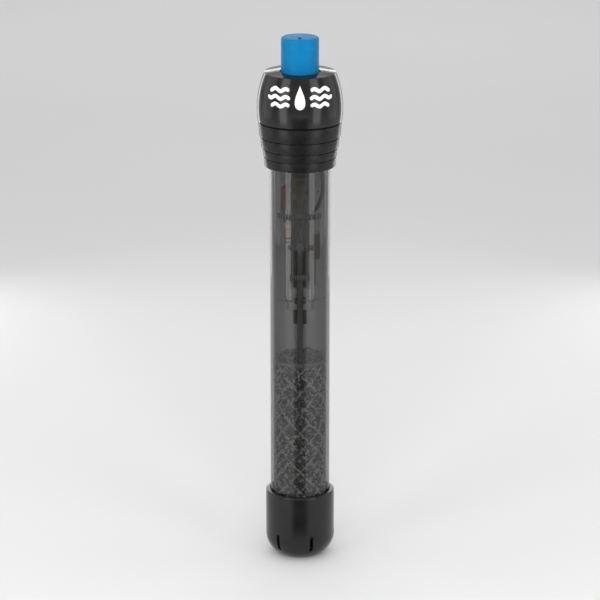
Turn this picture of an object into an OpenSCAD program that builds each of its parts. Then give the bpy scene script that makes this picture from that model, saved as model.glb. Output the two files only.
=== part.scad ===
// Submersible aquarium heater: a thermostat and a heating element in a closed glass tube,
// with a screwed head on top, a temperature knob, and a plastic protector on the bottom end.
// +Z runs up the tube, the origin is under the middle of the end cap, and the front faces -Y.

/* [Glass tube] */
// Outer diameter of the glass tube
tube_d = 22; // [21.8:0.1:22.4]
// Wall thickness of the glass tube
tube_wall = 1.2; // [1:0.1:1.2]
// Length of the glass tube
tube_len = 171; // [165:1:200]
// Outer radius of the tube's rounded closed end
tube_end_r = 7; // [5:0.5:8]

/* [Head] */
// Largest radius of the smooth upper head
head_r = 15.7; // [15.4:0.1:16.4]
// Radius of the barrel curve of the upper head's side
barrel_r = 34; // [30:1:60]
// Slope of the head's top, from its flat middle down to its edge, in mm per mm
top_slope = 0.15; // [0.05:0.05:0.2]
// Height of the head from the clamp nut's lower edge to the flat middle of its top
head_h = 35.75; // [35.5:0.25:37]
// Length of glass tube held inside the head
head_grip = 23.6; // [23:0.1:23.8]
// Heights of the clamp nut's four bands, from the lowest up
band_h = [3.8, 3.2, 4.2, 5.1];
// Radii at the lower edge of each band
band_low_r = [13.0, 13.45, 14.1, 14.85];
// Radii at the upper edge of each band
band_high_r = [13.2, 13.75, 14.5, 15.2];
// Width of the groove between two bands
band_gap = 0.45; // [0.3:0.05:0.6]
// Depth of the groove between two bands
band_depth = 0.5; // [0.2:0.1:0.6]

/* [Knob and adjuster] */
// Diameter of the temperature knob
knob_d = 13.8; // [13:0.2:14.6]
// Height of the knob
knob_h = 13.8; // [13:0.2:18]
// Distance of the knob's axis in front of the tube's axis
knob_forward = 2.2; // [2.2:0.1:2.4]
// Radius of the knob's spindle
spindle_r = 2.5; // [2.4:0.05:2.6]
// Radius of the adjuster screw's shank
screw_r = 2; // [1.9:0.05:2]

/* [Cord inlet] */
// Diameter of the mains cord that the gland takes
cord_d = 5; // [4.6:0.1:5]
// Distance of the cord's axis behind the tube's axis
cord_back = 8.8; // [8.8:0.05:9]

/* [End cap] */
// Outer diameter of the end cap
cap_d = 25.6; // [25.4:0.1:27]
// Height of the end cap
cap_h = 25.4; // [20:0.2:30]
// Outer corner radius of the cap's rounded bottom
cap_corner_r = 8; // [6:0.5:8]
// Wall thickness of the end cap
cap_wall = 1.6; // [1.2:0.1:1.6]
// Number of vent slots around the rounded bottom
slot_count = 6; // [4:1:8]
// Width of a vent slot
slot_w = 1.3; // [1:0.1:1.8]

/* [Heating element] */
// Height of the top of the quartz sand
sand_top = 75.8; // [74:0.2:76]
// Number of turns in each layer of the heating wire
wire_turns = 7; // [5:1:8]
// Radius of the coiled heating wire
coil_r = 0.55; // [0.45:0.01:0.55]

/* [Hidden] */
$fn = 72;
eps = 0.01;

// Small clearances
seat_gap = 0.05;
slip_gap = 0.15;

// Levels of the glass tube and the cap
tube_r = tube_d / 2;
tube_in_r = tube_r - tube_wall;
cushion_t = 1.4;
z_glass0 = cap_wall + cushion_t;
z_glass1 = z_glass0 + tube_len;
cap_r = cap_d / 2;
cap_grip_h = 7;

// Levels of the head
z_head0 = z_glass1 - head_grip;
z_head1 = z_head0 + head_h;
nut_h = band_h[0] + band_h[1] + band_h[2] + band_h[3];
z_nut1 = z_head0 + nut_h;
nut_bore_r = 12.4;
nut_lip_h = 3;
shell_gap = 0.2;
z_shell0 = z_nut1 + shell_gap;
barrel_up = 21.4;
top_flat_r = 6;
spigot_r = 12.3;
z_spigot0 = z_head0 + 4.5;
cavity_r = 13.4;
z_cavity0 = z_head0 + 18.6;
z_cavity1 = z_head1 - 3.95;
glass_seal_r = min(0.68, (nut_bore_r - tube_r) / 2 - 0.02);
// Turn that keeps the seams of the round faces off the middle plane
seam_turn = 35;

// Stopper in the tube's mouth
stopper_plug_h = 9;
stopper_flange_h = 2.1;
z_stopper0 = z_glass1 - stopper_plug_h;
z_stopper1 = z_glass1 + stopper_flange_h;

// Cord gland
cord_r = cord_d / 2;
gland_collar_r = 3.2;
gland_neck_r = 3.05;
gland_body_r = 3.6;
z_gland_seat = z_head1 - 1.15;
z_gland0 = z_stopper1 + 0.3;
z_gland1 = z_gland_seat + 2.4;

// Knob, spindle and bush
knob_r = knob_d / 2;
z_recess = z_head1 - 2.15;
recess_r = knob_r + 0.4;
z_knob0 = z_recess + 0.6;
z_knob1 = z_knob0 + knob_h;
knob_skirt_r = knob_r - 1.2;
knob_skirt_h = 5;
knob_hub_r = 4.2;
z_knob_hub = z_knob0 + 2;
knob_edge_r = 0.9;
bush_r = spindle_r + 1.1;
bush_bore_r = spindle_r + 0.05;
bush_neck_r = bush_r - 0.6;
bush_flange_r = bush_r + 1;
bush_flange_h = 1.5;
z_bush0 = z_stopper0 - 1.4;
z_bush1 = z_recess + 1.5;
z_spindle0 = z_head0 + 4.2;
z_spindle1 = z_knob0 + 11.8;
drive_flat = 1.9;
drive_flat_h = 6;
seal_section_r = 0.58;
z_shaft_seals = [z_glass1 - 2, z_glass1 + 4];
clip_t = 0.45;
z_clip = z_bush0 - 0.6;
slot_gap = 1.2;
slot_depth = 7;

// Adjuster screw
tongue_w = 4.2;
tongue_t = 1.1;
z_tongue1 = z_spindle0 + 5.4;
z_shank1 = z_spindle0 - 2;
z_cone1 = z_head0 - 10.4;
cone_h = 5;
cone_tip_r = 0.6;
z_cone0 = z_cone1 - cone_h;
cone_slope = (screw_r - cone_tip_r) / cone_h;

// Thermostat
bracket_t = 0.8;
bracket_w = 10;
bracket_y = 4.6;
z_bracket0 = z_head0 - 56.4;
z_bridge = z_head0 - 4.6;
z_flange = z_bush0 + 0.1;
nut_across = 7.8;
nut_body_h = 2.8;
nut_neck_r = 2.7;
z_stack0 = z_head0 - 54.4;
stack_h = 8;
z_stack1 = z_stack0 + stack_h;
stack_w = 8;
z_rivet = z_stack0 + stack_h / 2;
rivet_r = 1.2;
z_pivot = z_stack1 + 0.1;
strip_w = 5;
leaf_t = 0.3;
z_leaf1 = z_cone0 + 2.5;
leaf_y = -knob_forward + cone_tip_r + 2.5 * cone_slope + 0.1;
bimetal_t = 0.5;
bimetal_y = leaf_y + 2.95;
z_bimetal1 = z_leaf1 - 4.5;
z_contact = z_leaf1 - 7.5;
contact_r = 1.3;
leaf_contact_h = 1.1;
bimetal_contact_h = 1.2;
magnet_size = [4, 1.1, 6];
z_magnet = z_contact - 11;
tab_drop = 6;
z_tab0 = z_stack0 - tab_drop;
// Front and back faces of the three ceramic blocks, from the front one back
stack_gaps = [[leaf_y - 1.8, leaf_y], [leaf_y + leaf_t, bimetal_y], [bimetal_y + bimetal_t, bracket_y]];

// Neon lamp: place of its axis, and size
lamp_x = -5.2;
lamp_y = -5.6;
z_lamp0 = z_head0 - 15;
lamp_h = 7;
lamp_r = 1.9;

// Leads
lead_r = 0.75;
lead_side_y = 6.6;
lead_side_x = 2;
front_lead_y = -7.9;
sleeve_r = 1.1;
ferrule_r = 1.15;
// Points that each lead runs through, from the top down
live_route = [
    [-lead_side_x, lead_side_y, z_stopper1 - 0.3],
    [-lead_side_x, lead_side_y, z_stopper0],
    [-lead_side_x, lead_side_y, z_stopper0 - 3],
    [-2.4, 7, z_head0 - 5],
    [-2.4, 7, z_stack1 + 12],
    [-2.2, 6.9, z_stack0],
    [-1.4, 5.4, z_tab0 + 1.4],
    [-0.6, 4.6, z_tab0 + 0.4],
    [0, bimetal_y + bimetal_t + lead_r + 0.02, z_tab0 + 1.6]
];
neutral_route = [
    [lead_side_x, lead_side_y, z_stopper1 - 0.3],
    [lead_side_x, lead_side_y, z_stopper0],
    [lead_side_x, lead_side_y, z_stopper0 - 3],
    [4.6, 7, z_head0 + 5.6],
    [7.6, 4, z_head0 - 2.4],
    [8.3, -0.6, z_head0 - 9],
    [6.6, -5.4, z_head0 - 14],
    [2.6, -7.8, z_head0 - 18],
    [0, front_lead_y, z_head0 - 23],
    [0, front_lead_y, z_head0 - 27],
    [0, front_lead_y, z_head0 - 45],
    [0, front_lead_y, sand_top - 1.2]
];
heater_route = [
    [0, leaf_y - lead_r - 0.02, z_tab0 + 3],
    [0, leaf_y - lead_r - 0.02, z_tab0 - 1],
    [0, -0.8, z_tab0 - 4],
    [0, 0, sand_top + 2],
    [0, 0, sand_top - 0.6]
];

// Heating element
disc_t = 1.2;
sand_r = tube_in_r - 0.05;
element_r = 9.05;
z_element0 = 11.5;
z_element1 = sand_top - 4.8;
former_core_r = 3.4;
former_fin_r = 6.5;
former_fin_t = 1.5;
fin_count = 6;
z_former0 = 12;
z_former1 = sand_top - 8.8;
wire_out_r = 8.4;
wire_in_r = 7.2;
z_wire0 = 15;
z_wire1 = sand_top - 11.8;
// One wire: down in the outer layer, across at the bottom, up in the inner layer of the other hand,
// and in to the middle over the top of the former
steps_per_turn = 20;
step_angle = 360 / steps_per_turn;
layer_steps = wire_turns * steps_per_turn;
half_steps = steps_per_turn / 2;
wire_end_up = 3;
wire_climb = 4.6;
wire_cross_up = 4.8;
wire_dip = 1.9;
wire_path = concat(
    [[0, front_lead_y, z_wire1 + wire_end_up]],
    [for (i = [0 : layer_steps])
        coil_point(wire_out_r, i * step_angle, z_wire1 - (z_wire1 - z_wire0) * i / layer_steps)],
    [for (i = [1 : half_steps - 1])
        coil_point(wire_out_r + (wire_in_r - wire_out_r) * i / half_steps, i * step_angle,
            z_wire0 - wire_dip * sin(i * step_angle))],
    [for (i = [0 : layer_steps])
        coil_point(wire_in_r, 180 + i * step_angle, z_wire0 + (z_wire1 - z_wire0) * i / layer_steps)],
    [for (i = [1 : half_steps])
        coil_point(wire_in_r, 180 + i * step_angle, z_wire1 + wire_climb * i / half_steps)],
    [for (i = [1 : half_steps - 1])
        coil_point(wire_in_r * (1 - i / half_steps), i * step_angle, z_wire1 + wire_cross_up)],
    [[0, 0, z_wire1 + wire_cross_up + 1]]
);

// ---- Curves and sweeps ----

// Point at fraction t between p1 and p2 on a smooth curve that also heeds p0 and p3
function smooth_point(p0, p1, p2, p3, t) =
    0.5 * (2 * p1 + (p2 - p0) * t + (2 * p0 - 5 * p1 + 4 * p2 - p3) * t * t
    + (3 * p1 - p0 - 3 * p2 + p3) * t * t * t);

// Smooth path through a list of points, with the given number of steps between neighbours
function smooth_path(pts, steps) = concat(
    [for (i = [0 : len(pts) - 2], s = [0 : steps - 1])
        smooth_point(pts[max(i - 1, 0)], pts[i], pts[i + 1], pts[min(i + 2, len(pts) - 1)], s / steps)],
    [pts[len(pts) - 1]]);

function unit(v) = v / norm(v);

// Direction of a path at its point i
function heading(path, i) = unit(path[min(i + 1, len(path) - 1)] - path[max(i - 1, 0)]);

// One ring of points around point i of a path; side is a direction that the path never takes
function ring(path, i, r, sides, side) =
    let (dir = heading(path, i), u = unit(cross(side, dir)), v = cross(dir, u))
    [for (k = [0 : sides - 1]) path[i] + r * (cos(k * 360 / sides) * u + sin(k * 360 / sides) * v)];

// Round tube along a path
module sweep_tube(path, r, sides, side = [1, 0, 0]) {
    rings = len(path);
    points = [for (i = [0 : rings - 1]) each ring(path, i, r, sides, side)];
    start_cap = [[for (k = [0 : sides - 1]) k]];
    end_cap_face = [[for (k = [sides - 1 : -1 : 0]) (rings - 1) * sides + k]];
    walls = [for (i = [0 : rings - 2], k = [0 : sides - 1])
        let (a = i * sides + k, b = i * sides + (k + 1) % sides)
        each [[a, b + sides, b], [a, a + sides, b + sides]]];
    polyhedron(points, concat(start_cap, end_cap_face, walls));
}

// Ring of round section
module o_ring(centre_r, section_r) {
    rotate_extrude() translate([centre_r, 0]) circle(section_r);
}

// Plate given by its lowest corner in y and z, centred in x
module plate(w, y0, t, z0, z1) {
    translate([-w / 2, y0, z0]) cube([w, t, z1 - z0]);
}

// Cylinder between two levels, at a place in the plan
module post(x, y, r, z0, z1) {
    translate([x, y, z0]) cylinder(r = r, h = z1 - z0);
}

// Cylinder along +Y from y0 to y1
module cross_pin(z, r, y0, y1) {
    translate([0, y0, z]) rotate([-90, 0, 0]) cylinder(r = r, h = y1 - y0);
}

// ---- Head ----

// Outline of the smooth barrel side and the sloping top, from the axis out
module barrel_outline() {
    far_r = head_r + 1;
    z_far = z_head1 - (far_r - top_flat_r) * top_slope;
    intersection() {
        translate([head_r - barrel_r, z_head0 + barrel_up]) circle(barrel_r, $fn = 180);
        polygon([[0, z_shell0], [far_r, z_shell0], [far_r, z_far], [top_flat_r, z_head1], [0, z_head1]]);
    }
}

// Smooth upper head with the recess for the knob and the seat for the cord gland
module head_shell() {
    color([0.06, 0.06, 0.065]) difference() {
        rotate([0, 0, seam_turn]) rotate_extrude() difference() {
            union() {
                barrel_outline();
                translate([0, z_spigot0]) square([spigot_r, z_shell0 - z_spigot0 + eps]);
            }
            translate([-1, z_spigot0 - 1]) square([tube_r + slip_gap + 1, z_cavity0 - z_spigot0 + 1 + eps]);
            translate([-1, z_cavity0]) square([cavity_r + 1, z_cavity1 - z_cavity0]);
        }
        translate([0, -knob_forward, 0]) rotate([0, 0, seam_turn])
            post(0, 0, recess_r, z_recess, z_head1 + 1);
        post(0, -knob_forward, bush_r + seat_gap, z_cavity1 - 1, z_head1);
        post(0, cord_back, gland_collar_r + seat_gap, z_gland_seat, z_head1 + 1);
        post(0, cord_back, gland_neck_r + seat_gap, z_cavity1 - 1, z_head1);
    }
}

// Lower level of band i of the clamp nut
function band_z(i) = z_head0 + (i == 0 ? 0 : i == 1 ? band_h[0] : i == 2 ? band_h[0] + band_h[1]
    : band_h[0] + band_h[1] + band_h[2]);

// Stepped clamp nut that screws up over the head's spigot and squeezes the glass seal
module clamp_nut() {
    color([0.07, 0.07, 0.075]) rotate_extrude() difference() {
        union() {
            for (i = [0 : 3]) {
                gap = i == 3 ? 0 : band_gap;
                translate([0, band_z(i)])
                    polygon([
                        [0, 0], [band_low_r[i], 0], [band_high_r[i], band_h[i] - gap], [0, band_h[i] - gap]
                    ]);
            }
            translate([0, z_head0]) square([band_low_r[0] - band_depth, nut_h - band_h[3]]);
            translate([0, band_z(2)]) square([band_low_r[2] - band_depth, band_h[2]]);
            translate([0, band_z(1)]) square([band_low_r[1] - band_depth, band_h[1]]);
        }
        translate([-1, z_head0 - 1]) square([tube_r + slip_gap + 1, nut_h + 2]);
        translate([-1, z_head0 + nut_lip_h]) square([nut_bore_r + 1, nut_h]);
    }
}

// Inner core that holds the bush and gland and presses the stopper onto the glass
module head_core() {
    core_r = cavity_r - 0.1;
    color([0.16, 0.16, 0.17]) difference() {
        post(0, 0, core_r, z_cavity0 + 0.2, z_cavity1 - 0.1);
        post(0, 0, tube_r + slip_gap, z_cavity0, z_stopper1);
        post(0, -knob_forward, bush_r + seat_gap, z_stopper1 - 1, z_cavity1);
        post(0, -knob_forward, bush_flange_r + seat_gap, z_cavity1 - 0.1 - bush_flange_h, z_cavity1);
        post(0, cord_back, gland_body_r + seat_gap, z_stopper1 - 1, z_cavity1);
    }
}

// Rubber ring between the nut's lip and the head's spigot
module glass_seal() {
    color([0.12, 0.12, 0.12])
        translate([0, 0, z_head0 + nut_lip_h + glass_seal_r + 0.05])
            o_ring(tube_r + 0.02 + glass_seal_r, glass_seal_r);
}

// Silicone stopper in the mouth of the tube
module tube_stopper() {
    color([0.55, 0.2, 0.14]) difference() {
        union() {
            post(0, 0, tube_in_r - seat_gap, z_stopper0, z_glass1);
            post(0, 0, tube_r - seat_gap, z_glass1, z_stopper1 - 0.02);
        }
        post(0, -knob_forward, bush_r + 0.02, z_stopper0 - 1, z_stopper1 + 1);
        for (side = [-1, 1])
            post(side * lead_side_x, lead_side_y, lead_r + 0.05, z_stopper0 - 1, z_stopper1 + 1);
    }
}

// Rubber gland that the mains cord goes through
module cord_gland() {
    color([0.09, 0.09, 0.09]) difference() {
        union() {
            post(0, cord_back, gland_body_r, z_gland0, z_cavity1 - 0.1);
            post(0, cord_back, gland_neck_r, z_cavity1 - 0.1, z_gland_seat);
            post(0, cord_back, gland_collar_r, z_gland_seat, z_gland1);
        }
        post(0, cord_back, cord_r, z_gland0 - 1, z_gland1 + 1);
    }
}

// Brass bush that the spindle turns in, riveted to the thermostat bracket below the stopper
module spindle_bush() {
    color([0.78, 0.6, 0.3]) translate([0, -knob_forward, 0]) difference() {
        union() {
            post(0, 0, bush_neck_r, z_bush0, z_stopper0 - 0.1);
            post(0, 0, bush_r, z_stopper0 - 0.1, z_bush1);
            post(0, 0, bush_flange_r, z_cavity1 - 0.1 - bush_flange_h, z_cavity1 - 0.1);
        }
        post(0, 0, bush_bore_r, z_bush0 - 1, z_bush1 + 1);
    }
}

// ---- Knob and adjuster ----

// Area left when a round bar is flattened on one side
module drive_section(r, flat) {
    difference() {
        circle(r);
        translate([-r - 1, flat]) square([2 * r + 2, r]);
    }
}

// Temperature knob, hollow under its skirt, with a pointer notch on top
module knob() {
    pointer_l = 5;
    pointer_w = 1.1;
    pointer_deep = 0.5;
    color([0.06, 0.48, 0.75]) translate([0, -knob_forward, 0]) difference() {
        union() {
            rotate_extrude() difference() {
                union() {
                    translate([0, z_knob0]) square([knob_r, knob_h - knob_edge_r]);
                    translate([0, z_knob0]) square([knob_r - knob_edge_r, knob_h]);
                    translate([knob_r - knob_edge_r, z_knob1 - knob_edge_r]) circle(knob_edge_r);
                }
                translate([-1, z_knob0 - 1]) square([knob_skirt_r + 1, knob_skirt_h + 1]);
            }
            post(0, 0, knob_hub_r, z_knob_hub, z_knob0 + knob_skirt_h + eps);
        }
        translate([0, 0, z_knob_hub - 1])
            linear_extrude(z_spindle1 - drive_flat_h - z_knob_hub + 1) circle(spindle_r + 0.02);
        translate([0, 0, z_spindle1 - drive_flat_h - eps])
            linear_extrude(drive_flat_h + 0.2) drive_section(spindle_r + 0.02, drive_flat + 0.02);
        translate([-pointer_w / 2, -knob_r + 1, z_knob1 - pointer_deep]) cube([pointer_w, pointer_l, 1]);
    }
}

// Brass spindle: flattened top for the knob, grooves for seals and clip, slot for the screw's tongue
module spindle() {
    color([0.8, 0.62, 0.32]) translate([0, -knob_forward, 0]) difference() {
        rotate_extrude() difference() {
            translate([0, z_spindle0]) square([spindle_r, z_spindle1 - z_spindle0]);
            for (z = z_shaft_seals) groove(z, spindle_r - 1.2, 1.3);
            groove(z_clip + clip_t / 2, spindle_r - 0.6, clip_t + 0.1);
        }
        translate([-spindle_r - 1, drive_flat, z_spindle1 - drive_flat_h])
            cube([2 * spindle_r + 2, spindle_r, drive_flat_h + 1]);
        translate([-spindle_r - 1, -slot_gap / 2, z_spindle0 - 1])
            cube([2 * spindle_r + 2, slot_gap, slot_depth + 1]);
    }
}

// Outline of a square groove in the spindle, down to its neck, centred on level z
module groove(z, neck_r, w) {
    translate([neck_r, z - w / 2]) square([spindle_r, w]);
}

// Two rubber rings in the spindle's grooves
module shaft_seals() {
    color([0.1, 0.1, 0.1])
        for (z = z_shaft_seals)
            translate([0, -knob_forward, z]) o_ring(spindle_r - 0.02 - seal_section_r, seal_section_r);
}

// Open clip that keeps the spindle from being pulled out
module spindle_clip() {
    clip_r = 3.9;
    mouth_w = 2.4;
    color([0.6, 0.6, 0.62]) translate([0, -knob_forward, z_clip]) difference() {
        cylinder(r = clip_r, h = clip_t);
        translate([0, 0, -1]) cylinder(r = spindle_r - 0.55, h = clip_t + 2);
        translate([-mouth_w / 2, -clip_r - 1, -1]) cube([mouth_w, clip_r + 1, clip_t + 2]);
    }
}

// Brass screw with a driving tongue on top and a cone at the tip that sets the contact leaf
module adjuster_screw() {
    color([0.72, 0.55, 0.28]) translate([0, -knob_forward, 0]) union() {
        plate(tongue_w, -tongue_t / 2, tongue_t, z_shank1 - eps, z_tongue1);
        post(0, 0, screw_r, z_cone1, z_shank1);
        translate([0, 0, z_cone0]) cylinder(r1 = cone_tip_r, r2 = screw_r, h = cone_h);
    }
}

// ---- Glass tube and end cap ----

// Outline of a closed tube end of radius r, corner c, from level z0 up to z1
module end_outline(r, c, z0, z1) {
    intersection() {
        union() {
            translate([0, z0]) square([r - c, z1 - z0]);
            translate([0, z0 + c]) square([r, z1 - z0 - c]);
            translate([r - c, z0 + c]) circle(c);
        }
        translate([0, z0]) square([r, z1 - z0]);
    }
}

// Smoked glass tube, open at the top and closed below
module glass_tube() {
    color([0.3, 0.3, 0.31, 0.45]) rotate_extrude() difference() {
        end_outline(tube_r, tube_end_r, z_glass0, z_glass1);
        end_outline(tube_in_r, tube_end_r - tube_wall, z_glass0 + tube_wall, z_glass1 + 1);
    }
}

// Protector over the closed end, with vent slots around its rounded bottom
module end_cap() {
    inner_r = cap_r - cap_wall;
    slot_low = 4.4;
    slot_high = 9.4;
    first_slot = -40;
    color([0.06, 0.06, 0.065]) difference() {
        rotate_extrude() difference() {
            end_outline(cap_r, cap_corner_r, 0, cap_h);
            end_outline(inner_r, cap_corner_r - cap_wall, cap_wall, cap_h - cap_grip_h);
            translate([0, cap_h - cap_grip_h - eps]) square([tube_r + seat_gap, cap_grip_h + 1]);
        }
        for (i = [0 : slot_count - 1]) rotate([0, 0, first_slot + i * 360 / slot_count]) {
            translate([-slot_w / 2, -cap_r - 1, slot_low]) cube([slot_w, cap_r - 6, slot_high - slot_low]);
            for (z = [slot_low, slot_high])
                translate([0, -cap_r - 1, z]) rotate([-90, 0, 0]) cylinder(d = slot_w, h = cap_r - 6);
        }
    }
}

// Silicone cushion between the glass and the cap
module end_cushion() {
    pad_r = cap_r - cap_corner_r - 0.1;
    hole_r = 2;
    color([0.85, 0.85, 0.82]) difference() {
        post(0, 0, pad_r, cap_wall, z_glass0);
        post(0, 0, hole_r, cap_wall - 1, z_glass0 + 1);
    }
}

// ---- Thermostat ----

// Folded steel bracket: back plate, bridge for the nut and flange for the bush
module thermostat_bracket() {
    flange_t = 0.9;
    front_y = -knob_forward - 3.4;
    bridge_front_y = -knob_forward - 3.2;
    back_y = bracket_y + bracket_t;
    color([0.66, 0.67, 0.68]) difference() {
        union() {
            plate(bracket_w, bracket_y, bracket_t, z_bracket0, z_flange + flange_t);
            plate(bracket_w - 1, bridge_front_y, back_y - bridge_front_y, z_bridge, z_bridge + bracket_t);
            plate(bracket_w, front_y, back_y - front_y, z_flange, z_flange + flange_t);
        }
        post(0, -knob_forward, bush_neck_r + seat_gap, z_flange - 1, z_flange + 2);
        post(0, -knob_forward, nut_neck_r + seat_gap, z_bridge - 1, z_bridge + 2);
        cross_pin(z_rivet, rivet_r + seat_gap, bracket_y - 1, back_y + 1);
    }
}

// Fixed brass nut that the adjuster screw turns in
module adjuster_nut() {
    color([0.8, 0.62, 0.32]) translate([0, -knob_forward, 0]) difference() {
        union() {
            translate([0, 0, z_bridge + bracket_t])
                linear_extrude(nut_body_h) circle(d = nut_across, $fn = 6);
            post(0, 0, nut_neck_r, z_bridge - 0.4, z_bridge + bracket_t + eps);
        }
        post(0, 0, screw_r + 0.06, z_bridge - 2, z_bridge + 6);
    }
}

// Ceramic blocks that clamp and insulate the two contact strips
module stack_insulators() {
    color([0.9, 0.88, 0.82]) difference() {
        for (gap = stack_gaps) plate(stack_w, gap[0], gap[1] - gap[0], z_stack0, z_stack1);
        cross_pin(z_rivet, rivet_r + seat_gap, -tube_r, tube_r);
    }
}

// Tubular rivet through the stack
module stack_rivet() {
    head_t = 0.9;
    head_rivet_r = 2.2;
    front = stack_gaps[0][0];
    back = bracket_y + bracket_t;
    color([0.7, 0.7, 0.72]) union() {
        cross_pin(z_rivet, rivet_r, front - eps, back + eps);
        cross_pin(z_rivet, head_rivet_r, front - head_t, front);
        cross_pin(z_rivet, head_rivet_r, back, back + head_t);
    }
}

// Solder tabs held in the stack, one under each contact strip
module terminal_tabs() {
    color([0.82, 0.66, 0.36]) difference() {
        union() {
            plate(strip_w, leaf_y, leaf_t, z_stack0 - tab_drop, z_stack1);
            plate(strip_w, bimetal_y, bimetal_t, z_stack0 - tab_drop, z_stack1);
        }
        cross_pin(z_rivet, rivet_r + seat_gap, -tube_r, tube_r);
    }
}

// Spring leaf that the screw's cone pushes to set the temperature
module contact_leaf() {
    color([0.75, 0.62, 0.42]) plate(strip_w, leaf_y, leaf_t, z_pivot, z_leaf1);
}

// Silver contact on the leaf
module leaf_contact() {
    color([0.85, 0.85, 0.87])
        cross_pin(z_contact, contact_r, leaf_y + leaf_t, leaf_y + leaf_t + leaf_contact_h);
}

// Magnet on the leaf that snaps the contacts together
module magnet() {
    color([0.25, 0.25, 0.27])
        plate(magnet_size[0], leaf_y + leaf_t, magnet_size[1], z_magnet, z_magnet + magnet_size[2]);
}

// Bimetal strip that bends with the water's temperature
module bimetal_strip() {
    color([0.62, 0.6, 0.56]) plate(strip_w, bimetal_y, bimetal_t, z_pivot, z_bimetal1);
}

// Silver contact on the bimetal strip
module bimetal_contact() {
    color([0.85, 0.85, 0.87]) cross_pin(z_contact, contact_r, bimetal_y - bimetal_contact_h, bimetal_y);
}

// Iron plate on the bimetal strip, opposite the magnet
module armature() {
    color([0.4, 0.4, 0.42])
        plate(magnet_size[0], bimetal_y - bimetal_contact_h, bimetal_contact_h,
            z_magnet, z_magnet + magnet_size[2]);
}

// Neon lamp that lights while the element is on, with its two lead wires
module indicator_lamp() {
    wire_r = 0.25;
    wire_side = 0.8;
    color([0.85, 0.35, 0.2, 0.7]) union() {
        post(lamp_x, lamp_y, lamp_r, z_lamp0, z_lamp0 + lamp_h);
        translate([lamp_x, lamp_y, z_lamp0 + lamp_h]) sphere(r = lamp_r);
        for (side = [-1, 1]) post(lamp_x + side * wire_side, lamp_y, wire_r, z_lamp0 - 5, z_lamp0 + eps);
    }
}

// Resistor under the lamp
module lamp_resistor() {
    body_r = 1.25;
    z_top = z_lamp0 - 5;
    wire_r = 0.25;
    color([0.8, 0.7, 0.5]) union() {
        post(lamp_x + 0.8, lamp_y, body_r - 0.45, z_top - 9, z_top - 0.02);
        post(lamp_x + 0.8, lamp_y, body_r, z_top - 8, z_top - 1);
        post(lamp_x + 0.8, lamp_y, wire_r, z_top - 22, z_top - 9 + eps);
    }
}

// Capacitor that damps the spark of the contacts
module suppressor_capacitor() {
    cap_x = 5.6;
    cap_y = -3.2;
    size = [3.4, 6, 9];
    z_body = z_head0 - 34;
    wire_r = 0.25;
    wire_side = 1.9;
    color([0.75, 0.45, 0.12]) union() {
        translate([cap_x - size[0] / 2, cap_y - size[1] / 2, z_body]) cube(size);
        for (side = [-1, 1]) post(cap_x, cap_y + side * wire_side, wire_r, z_body - 10, z_body + eps);
    }
}

// ---- Leads ----

// Live lead: down behind the bracket and under it to the bimetal's tab
module live_lead() {
    color([0.42, 0.22, 0.1]) sweep_tube(smooth_path(live_route, 5), lead_r, 8);
}

// Neutral lead: round the right side to the front and straight down to the element
module neutral_lead() {
    color([0.12, 0.2, 0.45]) sweep_tube(smooth_path(neutral_route, 5), lead_r, 8);
}

// Dark glass-fibre sleeve on the straight part of the neutral lead
module lead_sleeve() {
    color([0.08, 0.08, 0.09]) difference() {
        post(0, front_lead_y, sleeve_r, sand_top + disc_t, z_head0 - 27.5);
        post(0, front_lead_y, lead_r + seat_gap, sand_top, z_head0 - 23);
    }
}

// Lead from the leaf's tab down to the middle of the element
module heater_lead() {
    color([0.1, 0.1, 0.1]) sweep_tube(smooth_path(heater_route, 4), lead_r, 8);
}

// Crimped ferrules that join the leads to the two ends of the heating wire
module crimp_ferrules() {
    color([0.3, 0.3, 0.31]) union() {
        post(0, front_lead_y, ferrule_r, z_wire1 + 3, sand_top - 1.25);
        post(0, 0, ferrule_r, z_former1 + 2.8, sand_top - 0.65);
    }
}

// ---- Heating element ----

// Mica disc on top of the sand
module mica_disc() {
    color([0.5, 0.5, 0.5]) difference() {
        post(0, 0, tube_in_r - 0.1, sand_top, sand_top + disc_t - 0.02);
        post(0, front_lead_y, lead_r + seat_gap, sand_top - 1, sand_top + 2);
        post(0, 0, lead_r + seat_gap, sand_top - 1, sand_top + 2);
    }
}

// Finned ceramic core inside the windings
module ceramic_former() {
    bore_r = 1;
    color([0.88, 0.86, 0.8]) translate([0, 0, z_former0])
        linear_extrude(z_former1 - z_former0) difference() {
            union() {
                circle(former_core_r);
                for (i = [0 : fin_count / 2 - 1]) rotate(i * 360 / fin_count)
                    square([2 * former_fin_r, former_fin_t], center = true);
            }
            circle(bore_r);
        }
}

// Point on a coil of radius r at an angle measured from the front
function coil_point(r, angle, z) = [r * sin(angle), -r * cos(angle), z];

// Coiled heating wire, drawn as one round rod of the coil's outer size
module heating_wire() {
    color([0.62, 0.62, 0.64]) sweep_tube(wire_path, coil_r, 8, [0, 0, 1]);
}

// Quartz sand: the layer against the glass and the solid ends around the element
module quartz_sand() {
    color([0.45, 0.45, 0.45]) difference() {
        rotate_extrude() difference() {
            end_outline(sand_r, tube_end_r - tube_wall, z_glass0 + tube_wall + 0.05, sand_top - 0.05);
            translate([-1, z_element0]) square([element_r + 1, z_element1 - z_element0]);
        }
        post(0, front_lead_y, ferrule_r + 0.1, z_element1 - 1, sand_top + 1);
        post(0, 0, ferrule_r + 0.1, z_element1 - 1, sand_top + 1);
    }
}

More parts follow.
